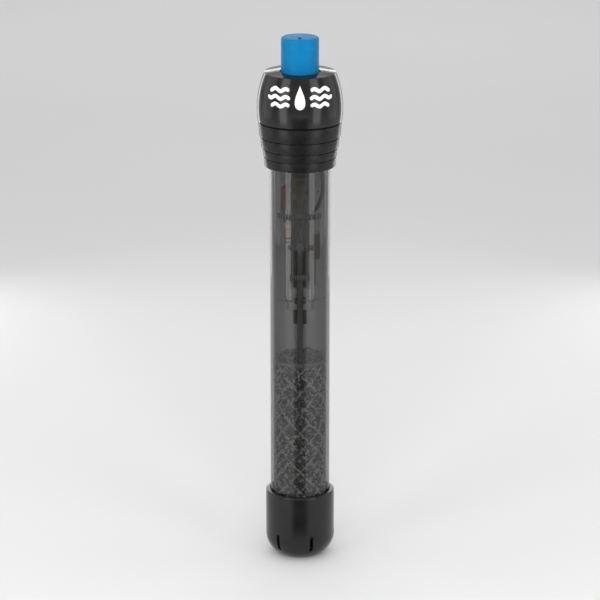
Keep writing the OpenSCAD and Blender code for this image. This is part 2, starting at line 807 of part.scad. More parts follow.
knob();
spindle();
shaft_seals();
spindle_clip();
adjuster_screw();
head_shell();
clamp_nut();
head_core();
glass_seal();
tube_stopper();
cord_gland();
spindle_bush();
glass_tube();
end_cap();
end_cushion();
thermostat_bracket();
adjuster_nut();
stack_insulators();
stack_rivet();
terminal_tabs();
contact_leaf();
leaf_contact();
magnet();
bimetal_strip();
bimetal_contact();
armature();
live_lead();
neutral_lead();
lead_sleeve();
heater_lead();
crimp_ferrules();
indicator_lamp();
lamp_resistor();
suppressor_capacitor();
mica_disc();
ceramic_former();
heating_wire();
quartz_sand();
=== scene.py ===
import math
import random

import bmesh
import bpy
from mathutils import Matrix, Vector


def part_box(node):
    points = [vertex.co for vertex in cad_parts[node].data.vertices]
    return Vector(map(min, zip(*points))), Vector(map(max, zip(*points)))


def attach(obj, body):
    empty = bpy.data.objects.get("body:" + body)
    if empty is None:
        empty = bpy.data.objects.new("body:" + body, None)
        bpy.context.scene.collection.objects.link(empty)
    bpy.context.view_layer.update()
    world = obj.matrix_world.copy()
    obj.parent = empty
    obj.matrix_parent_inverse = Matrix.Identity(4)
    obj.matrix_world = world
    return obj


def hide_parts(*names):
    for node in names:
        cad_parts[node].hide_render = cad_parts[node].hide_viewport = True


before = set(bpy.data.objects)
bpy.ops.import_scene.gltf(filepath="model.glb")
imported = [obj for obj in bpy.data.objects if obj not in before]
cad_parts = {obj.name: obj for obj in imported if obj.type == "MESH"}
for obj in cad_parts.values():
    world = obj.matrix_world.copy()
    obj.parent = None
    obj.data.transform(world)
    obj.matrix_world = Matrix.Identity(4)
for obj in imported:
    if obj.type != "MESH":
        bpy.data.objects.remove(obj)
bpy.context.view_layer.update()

MM = 0.001
# Faces around a large turned piece, and the angle past which an edge stays sharp
SEGMENTS = 192
SHARP_ANGLE = math.radians(32)


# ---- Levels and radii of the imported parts, in mm ----

def low(node):
    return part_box(node)[0] / MM


def high(node):
    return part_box(node)[1] / MM


def middle(node):
    return (low(node) + high(node)) / 2


def radius(node):
    return (high(node).x - low(node).x) / 2


KNOB_Y = middle("knob").y
GLAND_Y = middle("cord_gland").y
Z_NUT0, Z_NUT1 = low("clamp_nut").z, high("clamp_nut").z
Z_SHELL0, Z_TOP = Z_NUT1 + 0.2, high("head_shell").z
Z_SPIGOT0 = low("head_shell").z
TUBE_R = radius("glass_tube")
TUBE_WALL = 1.2
TUBE_IN_R = TUBE_R - TUBE_WALL
Z_GLASS0, Z_GLASS1 = low("glass_tube").z, high("glass_tube").z
Z_KNOB0, Z_KNOB1 = low("knob").z, high("knob").z
KNOB_R = radius("knob")
CAP_R, Z_CAP1 = radius("end_cap"), high("end_cap").z
Z_SAND0, Z_SAND1 = low("quartz_sand").z, high("quartz_sand").z
SAND_R = radius("quartz_sand")

# The barrel side of the head is an arc of this radius, widest at this level
BARREL_R = 34.0
Z_BARREL = Z_NUT0 + 21.4
HEAD_R = radius("head_shell")
# The head's top is flat in the middle and slopes down to its edge
TOP_FLAT_R, TOP_EDGE_R, TOP_SLOPE = 6.0, 13.1, 0.15
Z_RECESS = Z_TOP - 2.15
RECESS_R = KNOB_R + 0.4
Z_CAVITY0, Z_CAVITY1 = Z_NUT0 + 18.6, Z_TOP - 3.95
CAVITY_R, SPIGOT_R = 13.4, 12.3
# Bore around the tube, in the head's spigot and in the clamp nut's lip
HEAD_BORE_R = TUBE_R + 0.15
# The cord gland: its body under the head's roof, its neck through it and its collar on top
GLAND_BODY_R, GLAND_NECK_R, GLAND_COLLAR_R, GLAND_BORE_R = 3.6, 3.05, 3.2, 2.5
Z_COLLAR = high("cord_gland").z - 2.4
# How far the wall of a hole stands off the piece in it
SEAT_GAP = 0.05


def barrel_radius(z):
    return HEAD_R - BARREL_R + math.sqrt(BARREL_R ** 2 - (z - Z_BARREL) ** 2)


# ---- Mesh helpers ----

def rounded(points, steps=5):
    """A closed profile of (x, z, corner radius), with its corners rounded."""
    made = []
    for i, (x, z, r) in enumerate(points):
        corner = Vector((x, z))
        to_last = Vector(points[i - 1][:2]) - corner
        to_next = Vector(points[(i + 1) % len(points)][:2]) - corner
        if r <= 0:
            made.append(corner)
            continue
        a, b = to_last.normalized(), to_next.normalized()
        half = math.acos(max(-1, min(1, a.dot(b)))) / 2
        back = min(r / math.tan(half), 0.48 * to_last.length, 0.48 * to_next.length)
        centre = corner + (a + b).normalized() * (back / math.cos(half))
        start, end = corner + a * back - centre, corner + b * back - centre
        turn = math.atan2(start.cross(end), start.dot(end))
        for k in range(steps + 1):
            made.append(centre + Matrix.Rotation(turn * k / steps, 2) @ start)
    return [(p.x, p.y) for p in made]


def around(r, angle, z=0.0, at=(0, 0)):
    """Point at a radius and an angle from the front, around a vertical axis."""
    return Vector((at[0] + r * math.sin(angle), at[1] - r * math.cos(angle), z))


def quarter(r, corner, z, steps, upward=True):
    """Quarter arc of (radius, z) between a flat end at level z and a wall of radius r."""
    turns = [math.pi / 2 * k / steps for k in range(steps + 1)]
    arc = [(r - corner + corner * math.sin(t), z + corner - corner * math.cos(t)) for t in turns]
    return arc if upward else arc[::-1]


def turned(profile, at=(0, 0), segments=SEGMENTS):
    """Mesh of a closed profile of (radius, z) in mm turned around a vertical axis."""
    mesh = bmesh.new()
    rings = []
    for r, z in profile:
        count = 1 if r < 1e-6 else segments
        angles = [2 * math.pi * k / segments for k in range(count)]
        rings.append([mesh.verts.new(MM * around(r, t, z, at)) for t in angles])
    for a, b in zip(rings, rings[1:] + rings[:1]):
        for k in range(segments):
            corners = [a[k % len(a)], a[(k + 1) % len(a)], b[(k + 1) % len(b)], b[k % len(b)]]
            unique = list(dict.fromkeys(corners))
            if len(unique) > 2:
                mesh.faces.new(unique)
    return mesh


def block(x0, x1, y0, y1, z0, z1):
    """Mesh of a box in mm."""
    mesh = bmesh.new()
    bmesh.ops.create_cube(mesh, size=1)
    size = Vector((x1 - x0, y1 - y0, z1 - z0))
    centre = Vector((x1 + x0, y1 + y0, z1 + z0)) / 2
    for v in mesh.verts:
        v.co = MM * (centre + Vector([c * s for c, s in zip(v.co, size)]))
    return mesh


def placed(name, mesh):
    """Object of a bmesh, with smooth faces and sharp edges kept."""
    bmesh.ops.recalc_face_normals(mesh, faces=mesh.faces)
    data = bpy.data.meshes.new(name)
    mesh.to_mesh(data)
    mesh.free()
    piece = bpy.data.objects.new(name, data)
    bpy.context.scene.collection.objects.link(piece)
    smooth(piece)
    return piece


def smooth(piece):
    piece.data.shade_smooth()
    piece.data.set_sharp_from_angle(angle=SHARP_ANGLE)


def carve(piece, cutters):
    """Takes each cutter mesh away from a piece."""
    tools = [placed("cutter", c) for c in cutters]
    for tool in tools:
        step = piece.modifiers.new("carve", "BOOLEAN")
        step.object, step.operation, step.solver = tool, "DIFFERENCE", "EXACT"
    bake_modifiers(piece)
    for tool in tools:
        bpy.data.objects.remove(tool)
    smooth(piece)


def bake_modifiers(piece):
    bpy.context.view_layer.update()
    graph = bpy.context.evaluated_depsgraph_get()
    piece.data = bpy.data.meshes.new_from_object(piece.evaluated_get(graph))
    piece.modifiers.clear()


def soften(piece, width, segments=2):
    """Rounds the hard edges of a piece by a small bevel."""
    edge = piece.modifiers.new("soften", "BEVEL")
    edge.width, edge.segments = MM * width, segments
    edge.limit_method, edge.angle_limit = "ANGLE", math.radians(35)
    edge.harden_normals = True


def finished(piece, look, body, stands_for=()):
    """Gives a piece its material and body, and hides the CAD nodes it stands for."""
    piece.data.materials.clear()
    piece.data.materials.append(look)
    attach(piece, body)
    if stands_for:
        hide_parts(*stands_for)


# ---- Materials ----

def srgb(r, g, b):
    """Linear colour of 8-bit sRGB values."""
    shares = [c / 255 for c in (r, g, b)]
    return tuple(c / 12.92 if c < 0.0405 else ((c + 0.055) / 1.055) ** 2.4 for c in shares) + (1,)


class Look:
    """A node material: noise drives its colour and roughness, and finer noise its relief."""

    def __init__(self, name, colour, second, rough, scale=300, stretch=(1, 1, 1), grain=2500, relief=0.02,
                 detail=4, **sockets):
        self.material = bpy.data.materials.new(name)
        self.material.use_nodes = True
        tree = self.material.node_tree
        self.nodes, self.links = tree.nodes, tree.links
        self.shader = self.nodes["Principled BSDF"]
        self.output = self.nodes["Material Output"]
        place = self.node("ShaderNodeTexCoord")
        self.space = self.node("ShaderNodeMapping", {"Vector": place.outputs["Object"], "Scale": stretch})
        self.noise = self.texture(scale, detail)
        self.paint = self.ramp(self.noise, colour, second)
        self.link(self.paint, self.shader.inputs["Base Color"])
        self.link(self.spread(self.noise, *rough), self.shader.inputs["Roughness"])
        fine = self.texture(grain, 3)
        self.bump = self.node("ShaderNodeBump", {"Height": fine, "Strength": 1.0, "Distance": relief * MM})
        self.link(self.bump.outputs["Normal"], self.shader.inputs["Normal"])
        for socket, value in sockets.items():
            self.shader.inputs[socket.replace("_", " ")].default_value = value

    def node(self, kind, inputs=None, **settings):
        made = self.nodes.new(kind)
        for key, value in settings.items():
            setattr(made, key, value)
        for key, value in (inputs or {}).items():
            if isinstance(value, bpy.types.NodeSocket):
                self.links.new(value, made.inputs[key])
            else:
                made.inputs[key].default_value = value
        return made

    def link(self, start, end):
        self.links.new(start, end)

    def texture(self, scale, detail=3):
        return self.node("ShaderNodeTexNoise", {"Vector": self.space.outputs["Vector"], "Scale": scale,
                                                "Detail": detail, "Roughness": 0.55}).outputs["Fac"]

    def spread(self, value, start, end, lowest=0.3, highest=0.7):
        """Maps noise to the range from start to end."""
        return self.node("ShaderNodeMapRange", {"Value": value, "From Min": lowest, "From Max": highest,
                                                "To Min": start, "To Max": end}).outputs["Result"]

    def ramp(self, value, start, end, lowest=0.35, highest=0.65):
        made = self.node("ShaderNodeValToRGB", {"Fac": value})
        for element, place, colour in zip(made.color_ramp.elements, (lowest, highest), (start, end)):
            element.position, element.color = place, colour
        return made.outputs["Color"]

    def blend(self, share, start, end):
        """Mixes two colours, which are the mix node's inputs 6 and 7 and its output 2."""
        return self.node("ShaderNodeMix", {"Factor": share, 6: start, 7: end}, data_type="RGBA").outputs[2]

    def height(self, value, distance):
        """Adds relief from a value, over what is already there."""
        self.bump = self.node("ShaderNodeBump", {"Height": value, "Strength": 1.0, "Distance": distance * MM,
                                                 "Normal": self.bump.outputs["Normal"]})
        self.link(self.bump.outputs["Normal"], self.shader.inputs["Normal"])

    def waves(self, direction, scale, distortion=0.0):
        return self.node("ShaderNodeTexWave", {"Vector": self.space.outputs["Vector"], "Scale": scale,
                                               "Distortion": distortion, "Detail": 2.0},
                         wave_type="BANDS", bands_direction=direction).outputs["Fac"]


def plastic(name, colour, second, rough, **more):
    return Look(name, colour, second, rough, **more).material


def metal(name, colour, second, rough, stretch=(1, 1, 1), turned_marks=0, **more):
    made = Look(name, colour, second, rough, stretch=stretch, Metallic=1.0, **more)
    if turned_marks:
        made.height(made.waves("Z", turned_marks, 0.4), 0.012)
    return made.material


def grey(level, tint=(1, 1, 1)):
    return tuple(level * t for t in tint) + (1,)


def glass_material():
    """Smoked glass: each face lets half of the light through, and mirrors more and more towards its edge."""
    made = Look("smoked_glass", grey(0.56), grey(0.6), (0.02, 0.05), scale=120, grain=600, relief=0.001)
    tint = made.ramp(made.noise, grey(0.545), grey(0.565))
    mirror = made.node("ShaderNodeBsdfGlossy", {"Color": grey(1.0)})
    made.link(made.spread(made.noise, 0.02, 0.06), mirror.inputs["Roughness"])
    edge = made.node("ShaderNodeLayerWeight", {"Blend": 0.5})
    longer = made.node("ShaderNodeMath", {0: edge.outputs["Facing"], 1: 2.5}, operation="POWER")
    clear = made.node("ShaderNodeBsdfTransparent", {"Color": made.blend(longer.outputs[0], tint, grey(0.3))})
    power = made.node("ShaderNodeMath", {0: edge.outputs["Facing"], 1: 5.0}, operation="POWER")
    share = made.node("ShaderNodeMapRange", {"Value": power.outputs[0], "To Min": 0.04, "To Max": 0.7})
    both = made.node("ShaderNodeMixShader",
                     {0: share.outputs["Result"], 1: clear.outputs[0], 2: mirror.outputs[0]})
    made.link(both.outputs[0], made.output.inputs["Surface"])
    made.nodes.remove(made.shader)
    return made.material


def quartz_material(name, darkest, middling, brightest):
    """Each grain of sand has its own grey, from the darkest to the brightest."""
    made = Look(name, grey(0.2), grey(0.5), (0.25, 0.5), scale=900, grain=3000, relief=0.01)
    island = made.node("ShaderNodeNewGeometry").outputs["Random Per Island"]
    tone = made.node("ShaderNodeValToRGB", {"Fac": island})
    stops = ((0.0, darkest), (0.3, (darkest + middling) / 2), (0.6, middling), (0.85, brightest),
             (1.0, brightest))
    ramp = tone.color_ramp
    for _ in stops[2:]:
        ramp.elements.new(0.5)
    for element, (place, level) in zip(ramp.elements, stops):
        element.position, element.color = place, grey(level, (1.0, 0.985, 0.96))
    made.link(made.blend(0.12, tone.outputs["Color"], made.paint), made.shader.inputs["Base Color"])
    return made.material


def banded_material():
    """Resistor lacquer with four colour bands at set levels along its body."""
    made = Look("resistor_lacquer", srgb(205, 184, 142), srgb(196, 172, 126), (0.3, 0.4), scale=900)
    split = made.node("ShaderNodeSeparateXYZ", {0: made.node("ShaderNodeTexCoord").outputs["Object"]})
    lead, half_band = 13, 0.35
    z_body = low("lamp_resistor").z + lead
    colour = made.paint
    for step, band in ((1.6, srgb(120, 60, 25)), (3.0, srgb(25, 25, 25)), (4.4, srgb(200, 160, 30)),
                       (6.4, srgb(170, 130, 60))):
        span = {0: split.outputs["Z"], 1: MM * (z_body + step), 2: MM * half_band}
        near = made.node("ShaderNodeMath", span, operation="COMPARE")
        colour = made.blend(near.outputs[0], colour, band)
    made.link(colour, made.shader.inputs["Base Color"])
    return made.material


def braid_material():
    """Glass-fibre sleeve woven of two sets of crossing strands."""
    made = Look("dark_sleeve", grey(0.22), grey(0.32), (0.55, 0.75), scale=1500)
    made.space.inputs["Rotation"].default_value = (0, math.radians(35), 0)
    strands = made.waves("X", 900)
    other = made.waves("Z", 900)
    woven = made.node("ShaderNodeMath", {0: strands, 1: other}, operation="MULTIPLY")
    made.height(woven.outputs[0], 0.08)
    return made.material


# Tints of white ceramic and of bright wire, and the roughness that several matt looks share
CERAMIC_TINT, WIRE_TINT = (1, 0.98, 0.92), (1, 0.97, 0.93)
MATT = (0.4, 0.5)

black_gloss = plastic("black_gloss", grey(0.006), grey(0.009), (0.13, 0.2),
                      scale=160, grain=900, relief=0.004, Specular_IOR_Level=0.38)
black_matte = plastic("black_matte", grey(0.004), grey(0.007), (0.24, 0.33),
                      scale=350, grain=4000, relief=0.010, Specular_IOR_Level=0.28)
black_rubber = plastic("black_rubber", grey(0.012), grey(0.02), (0.55, 0.7),
                       scale=500, grain=3000, relief=0.03)
knob_blue = plastic("knob_blue", srgb(2, 103, 153), srgb(4, 109, 159), (0.42, 0.52),
                    scale=300, grain=3500, relief=0.008, Specular_IOR_Level=0.12)
red_silicone = plastic("red_silicone", srgb(150, 70, 50), srgb(135, 60, 44), (0.4, 0.55), scale=400)
clear_silicone = plastic("clear_silicone", grey(0.6), grey(0.7), (0.35, 0.5), scale=400)
white_ceramic = plastic("white_ceramic", grey(0.62, CERAMIC_TINT), grey(0.7, CERAMIC_TINT), (0.5, 0.65),
                        scale=700, grain=5000, relief=0.03)
mica = plastic("mica", grey(0.34), grey(0.5), (0.25, 0.45), scale=500, stretch=(1, 1, 8), grain=1500)
brown_insulation = plastic("brown_insulation", srgb(88, 62, 44), srgb(76, 54, 38), MATT, scale=600)
blue_insulation = plastic("blue_insulation", srgb(46, 56, 80), srgb(38, 48, 70), MATT, scale=600)
black_insulation = plastic("black_insulation", grey(0.015), grey(0.024), MATT, scale=600)
capacitor_lacquer = plastic("capacitor_lacquer", srgb(118, 103, 86), srgb(104, 90, 76), (0.22, 0.34),
                            scale=300, relief=0.05, grain=700)
brass = metal("brass", srgb(156, 140, 108), srgb(138, 122, 94), (0.32, 0.46), turned_marks=700)
leaf_brass = metal("leaf_brass", srgb(134, 124, 106), srgb(116, 107, 92), (0.45, 0.6), (1, 1, 0.1))
steel = metal("steel", grey(0.34), grey(0.42), (0.5, 0.62), (1, 1, 0.08), scale=1200)
silver_contact = metal("silver_contact", grey(0.7), grey(0.8), (0.2, 0.35), scale=900)
dark_iron = metal("dark_iron", grey(0.16), grey(0.24), (0.45, 0.6), scale=900)
bimetal = metal("bimetal", srgb(120, 112, 100), srgb(100, 94, 86), MATT, (1, 1, 0.1))
resistance_wire = metal("resistance_wire", grey(0.62, WIRE_TINT), grey(0.75, WIRE_TINT), (0.28, 0.42),
                        scale=2000)
lamp_glass = plastic("lamp_glass", srgb(150, 112, 98), srgb(134, 100, 88), (0.08, 0.14),
                     scale=300, Coat_Weight=0.5)
resistor_lacquer = banded_material()
dark_sleeve = braid_material()
grey_quartz = quartz_material("grey_quartz", 0.08, 0.26, 0.46)
milky_quartz = quartz_material("milky_quartz", 0.9, 1.0, 1.0)
smoked_glass = glass_material()
white_print = plastic("white_print", grey(0.78), grey(0.86), MATT, scale=900, grain=5000, relief=0.004)
dark_print = plastic("dark_print", grey(0.012), grey(0.02), MATT, scale=900, grain=5000, relief=0.004)
sand_core = plastic("sand_core", grey(0.3), grey(0.5), (0.6, 0.8), scale=1800, grain=2500, relief=0.2)


# ---- Knob ----

def make_knob():
    skirt_r, z_skirt, hub_r, z_hub = KNOB_R - 1.2, Z_KNOB0 + 5, 4.2, Z_KNOB0 + 2
    bore_r, z_bore = 2.52, high("spindle").z + 0.2
    body = turned(rounded([
        (0, Z_KNOB1, 0), (0, z_bore, 0), (bore_r, z_bore, 0), (bore_r, z_hub, 0.2), (hub_r, z_hub, 0.2),
        (hub_r, z_skirt, 0.3), (skirt_r, z_skirt, 0.3), (skirt_r, Z_KNOB0, 0.25), (KNOB_R, Z_KNOB0, 0.35),
        (KNOB_R, Z_KNOB1, 1.0)]), at=(0, KNOB_Y))
    knob = placed("knob_body", body)
    notch_w, notch_l, notch_deep = 1.1, 5, 0.5
    front = KNOB_Y - KNOB_R + 1
    notch = block(-notch_w / 2, notch_w / 2, front, front + notch_l, Z_KNOB1 - notch_deep, Z_KNOB1 + 1)
    carve(knob, [notch])
    finished(knob, knob_blue, "knob", ["knob"])


# ---- Head ----

def drill(y, z_top, *steps):
    """Cutter for a round hole in steps from the lowest up: radius, level of the foot and its rounding."""
    outline = [(0, steps[0][1], 0)]
    for (r, z_foot, foot_round), (_, z_next, _) in zip(steps, steps[1:] + ((0, z_top, 0),)):
        outline += [(r, z_foot, foot_round), (r, z_next, 0)]
    return turned(rounded(outline + [(0, z_top, 0)]), at=(0, y))


def make_head():
    steps, foot_round = 28, 0.35
    edge_z = Z_TOP - TOP_SLOPE * (TOP_EDGE_R - TOP_FLAT_R)
    side_z0, side_z1 = Z_SHELL0 + foot_round, edge_z - 0.1
    levels = [side_z0 + (side_z1 - side_z0) * k / steps for k in range(steps + 1)]
    outline = [(HEAD_BORE_R, Z_SPIGOT0, 0.2), (SPIGOT_R, Z_SPIGOT0, 0.3), (SPIGOT_R, Z_SHELL0, 0),
               (barrel_radius(Z_SHELL0) - foot_round, Z_SHELL0, 0)]
    outline += [(barrel_radius(z), z, 0) for z in levels]
    outline += [(TOP_EDGE_R, edge_z + 0.02, 0.8), (TOP_FLAT_R, Z_TOP, 2), (0, Z_TOP, 0), (0, Z_CAVITY1, 0),
                (CAVITY_R, Z_CAVITY1, 0.3), (CAVITY_R, Z_CAVITY0, 0.2), (HEAD_BORE_R, Z_CAVITY0, 0)]
    shell = placed("head_shell_body", turned(rounded(outline)))
    bush_r, z_below, z_above = 3.6, Z_CAVITY1 - 1, Z_TOP + 1
    knob_seat = drill(KNOB_Y, z_above, (bush_r + SEAT_GAP, z_below, 0), (RECESS_R, Z_RECESS, 0.25))
    inlet = drill(GLAND_Y, z_above, (GLAND_NECK_R + SEAT_GAP, z_below, 0),
                  (GLAND_COLLAR_R + SEAT_GAP, Z_COLLAR, 0))
    carve(shell, [knob_seat, inlet])
    finished(shell, black_gloss, "housing", ["head_shell"])


# Heights and radii of the clamp nut's four bands, from the lowest up
BANDS = ((3.8, 13.0, 13.2), (3.2, 13.45, 13.75), (4.2, 14.1, 14.5), (5.1, 14.85, 15.2))
BAND_GAP, GROOVE_IN = 0.45, 0.15


def make_clamp_nut():
    bore_r, z_lip = 12.4, Z_NUT0 + 3
    outline = [(HEAD_BORE_R, Z_NUT0, 0.3)]
    z = Z_NUT0
    for i, (h, low_r, high_r) in enumerate(BANDS):
        last = i == len(BANDS) - 1
        top_z = z + h - (0 if last else BAND_GAP)
        outline += [(low_r, z, 0.22), (high_r, top_z, 0.28)]
        if not last:
            outline += [(low_r - GROOVE_IN, top_z, 0.05), (low_r - GROOVE_IN, z + h, 0.05)]
        z += h
    outline += [(bore_r, Z_NUT1, 0.1), (bore_r, z_lip, 0.1), (HEAD_BORE_R, z_lip, 0.1)]
    nut = placed("clamp_nut_body", turned(rounded(outline, 4)))
    finished(nut, black_matte, "housing", ["clamp_nut"])


def make_gland():
    z0, z1 = low("cord_gland").z, high("cord_gland").z
    z_neck = Z_CAVITY1 - 0.1
    outline = [(GLAND_BORE_R, z0, 0.1), (GLAND_BODY_R, z0, 0.2), (GLAND_BODY_R, z_neck, 0.1),
               (GLAND_NECK_R, z_neck, 0.05), (GLAND_NECK_R, Z_COLLAR, 0.05), (GLAND_COLLAR_R, Z_COLLAR, 0.05),
               (GLAND_COLLAR_R, z1, 0.45), (GLAND_BORE_R, z1, 0.35)]
    gland = placed("cord_gland_body", turned(rounded(outline), at=(0, GLAND_Y), segments=96))
    finished(gland, black_rubber, "housing", ["cord_gland"])


# ---- Prints ----

def wrapped(name, shapes, surface, lift, thickness, look):
    """Thin print of flat shapes wrapped on the front of a round surface; a shape is (points, faces) in mm."""
    mesh = bmesh.new()
    for points, faces in shapes:
        verts = []
        for x, z in points:
            r = surface(z) + lift
            verts.append(mesh.verts.new(MM * around(r, x / r, z)))
        for face in faces:
            mesh.faces.new([verts[i] for i in face])
    piece = placed(name, mesh)
    bpy.context.view_layer.update()
    thick = piece.modifiers.new("thick", "SOLIDIFY")
    thick.thickness, thick.offset = MM * thickness, 0
    finished(piece, look, "housing")


def stroke(centre, widths):
    """Ribbon along a line of points, with its width at each point."""
    points, faces = [], []
    for i, (x, z) in enumerate(centre):
        ahead, behind = centre[min(i + 1, len(centre) - 1)], centre[max(i - 1, 0)]
        run = Vector((ahead[0] - behind[0], ahead[1] - behind[1])).normalized()
        side = Vector((-run.y, run.x)) * widths[i] / 2
        points += [(x - side.x, z - side.y), (x + side.x, z + side.y)]
        if i:
            faces.append((2 * i - 2, 2 * i, 2 * i + 1, 2 * i - 1))
    return points, faces


def wave_line(x0, x1, z, height, length, width, steps=56):
    """Wavy ribbon with round ends."""
    centre, widths = [], []
    for k in range(steps + 1):
        t = k / steps
        x = x0 + (x1 - x0) * t
        from_end = min(t, 1 - t) * abs(x1 - x0) / (width / 2)
        centre.append((x, z + height * math.sin(2 * math.pi * abs(x) / length)))
        widths.append(width * max(0.05, math.sqrt(max(0, 1 - max(0, 1 - from_end) ** 2))))
    return stroke(centre, widths)


def blob(outline, rings=5):
    """Filled outline around its middle, with enough rings to follow a curved surface."""
    cx = sum(p[0] for p in outline) / len(outline)
    cz = sum(p[1] for p in outline) / len(outline)
    points, faces, n = [(cx, cz)], [], len(outline)
    for k in range(1, rings + 1):
        points += [(cx + (x - cx) * k / rings, cz + (z - cz) * k / rings) for x, z in outline]
    for i in range(n):
        faces.append((0, 1 + i, 1 + (i + 1) % n))
        for k in range(1, rings):
            a, b = 1 + (k - 1) * n, 1 + k * n
            faces.append((a + i, b + i, b + (i + 1) % n, a + (i + 1) % n))
    return points, faces


def bar(x0, x1, z0, z1, steps=8):
    centre = [(x0 + (x1 - x0) * k / steps, (z0 + z1) / 2) for k in range(steps + 1)]
    return stroke(centre, [z1 - z0] * (steps + 1))


def make_head_mark():
    """Plain water mark: a drop between wave lines."""
    z_mid, drop_w, drop_h, row_gap, steps = Z_BARREL + 6.6, 2.7, 4.3, 2.7, 48
    drop = []
    for k in range(steps):
        t = 2 * math.pi * k / steps
        drop.append((drop_w * math.sin(t) * math.sin(t / 2) ** 1.5, z_mid + 0.2 + drop_h * math.cos(t)))
    shapes = [blob(drop)]
    for row, (inner, outer) in enumerate(((3.9, 12.0), (3.6, 13.0), (3.9, 11.6))):
        z = z_mid + row_gap - row_gap * row
        for side in (-1, 1):
            shapes.append(wave_line(side * inner, side * outer, z, height=0.45, length=4.2, width=1.35))
    wrapped("head_mark", shapes, barrel_radius, 0.015, 0.03, white_print)


def tick_row(x0, x1, z0, z1, rng):
    """Row of short upright dashes of uneven width, like a small scale."""
    shapes, x = [], x0
    while x < x1 - 0.5:
        width = rng.uniform(0.45, 0.95)
        shapes.append(bar(x, min(x + width, x1), z0 + rng.uniform(0, 0.25), z1 - rng.uniform(0, 0.25), 2))
        x += width + rng.uniform(0.22, 0.4)
    return shapes


def make_glass_prints():
    """Three rows of dashes, four bars above them and a dashed level line below them."""
    rng = random.Random(3)
    shapes, tick_h = [], 2.4
    for x0, x1, z0 in ((-9.4, 8.7, 132.1), (-4.4, 5.6, 120.6), (-3.8, 4.0, 109.3)):
        shapes += tick_row(x0, x1, z0, z0 + tick_h, rng)
    half_bar, z_bar0, z_bar1 = 0.6, 142.4, 143.1
    for x in (-7.0, -2.2, 2.4, 7.2):
        shapes.append(bar(x - half_bar, x + half_bar, z_bar0, z_bar1))
    dash_gap, half_dash, z_line0, z_line1 = 1.75, 0.5, 101.45, 101.85
    for k in range(-6, 7):
        shapes.append(bar(k * dash_gap - half_dash, k * dash_gap + half_dash, z_line0, z_line1, 3))
    wrapped("glass_marks", shapes, lambda z: TUBE_R, 0.012, 0.02, dark_print)


# ---- Glass tube and end cap ----

def make_tube():
    end, rim_r, steps = 7.0, 0.4, 14
    z_inside = Z_GLASS0 + TUBE_WALL
    outer_arc = [(r, z, 0) for r, z in quarter(TUBE_R, end, Z_GLASS0, steps)]
    inner_arc = [(r, z, 0) for r, z in quarter(TUBE_IN_R, end - TUBE_WALL, z_inside, steps, upward=False)]
    rim = [(TUBE_R, Z_GLASS1, rim_r), (TUBE_IN_R, Z_GLASS1, rim_r)]
    profile = rounded([(0, Z_GLASS0, 0)] + outer_arc + rim + inner_arc + [(0, z_inside, 0)])
    tube = placed("glass_tube_body", turned(profile))
    finished(tube, smoked_glass, "housing", ["glass_tube"])


def slot_cutter(angle):
    """Cutter for a vent slot with round ends, reaching out through the cap's wall."""
    slot_low, slot_high, slot_w, r_inside, steps = 4.4, 9.4, 1.3, 6, 16
    outline = []
    for start, z in ((0, slot_high), (math.pi, slot_low)):
        turns = [start + math.pi * i / steps for i in range(steps + 1)]
        outline += [(slot_w / 2 * math.cos(t), z + slot_w / 2 * math.sin(t)) for t in turns]
    turn = Matrix.Rotation(angle, 4, "Z")
    mesh = bmesh.new()
    inner, outer = [[mesh.verts.new(turn @ Vector((MM * x, -MM * r, MM * z))) for x, z in outline]
                    for r in (r_inside, CAP_R + 1)]
    mesh.faces.new(inner)
    mesh.faces.new(outer[::-1])
    for i in range(len(outline)):
        j = (i + 1) % len(outline)
        mesh.faces.new((inner[i], outer[i], outer[j], inner[j]))
    return mesh


def make_cap():
    corner, wall, steps = 8.0, 1.6, 14
    inner_r, bore, z_grip = CAP_R - wall, TUBE_R + SEAT_GAP, Z_CAP1 - 7
    arc = [(r, z, 0) for r, z in quarter(CAP_R, corner, 0, steps)]
    inner_arc = [(r, z, 0) for r, z in quarter(inner_r, corner - wall, wall, steps, upward=False)]
    rim = [(CAP_R, Z_CAP1, 0.5), (bore, Z_CAP1, 0.35), (bore, z_grip, 0.1), (inner_r, z_grip, 0.1)]
    cap = placed("end_cap_body", turned(rounded([(0, 0, 0)] + arc + rim + inner_arc + [(0, wall, 0)])))
    slot_count, first_slot = 6, -40
    carve(cap, [slot_cutter(math.radians(first_slot + k * 360 / slot_count)) for k in range(slot_count)])
    finished(cap, black_gloss, "housing", ["end_cap"])


# ---- Heating element ----

WIRE_TURNS = 7
# Radius and hand of each layer of windings, from the outer one in
WIRE_LAYERS = ((8.4, 1), (7.2, -1))
Z_WIRE0, Z_WIRE1 = 15.0, Z_SAND1 + 0.05 - 11.8
WIRE_RISE = Z_WIRE1 - Z_WIRE0
# The leads of the wire leave the sand at the middle and at the front
FRONT_LEAD_Y = -7.9


def directions_along(path):
    """Each point of a path with two directions square to it, which turn as little as they can."""
    side = Vector((0, 0, 1))
    for i, p in enumerate(path):
        run = (path[min(i + 1, len(path) - 1)] - path[max(i - 1, 0)]).normalized()
        side = (side - run * side.dot(run)).normalized()
        yield p, side, run.cross(side)


def wire_mesh(path, wire_r, sides):
    """Mesh of a wire with closed ends along a path of points in mm."""
    mesh = bmesh.new()
    turns = [2 * math.pi * k / sides for k in range(sides)]
    rings = [[mesh.verts.new(MM * (p + wire_r * (math.cos(t) * side + math.sin(t) * other))) for t in turns]
             for p, side, other in directions_along(path)]
    for a, b in zip(rings, rings[1:]):
        for k in range(sides):
            mesh.faces.new((a[k], a[(k + 1) % sides], b[(k + 1) % sides], b[k]))
    mesh.faces.new(rings[0][::-1])
    mesh.faces.new(rings[-1])
    return mesh


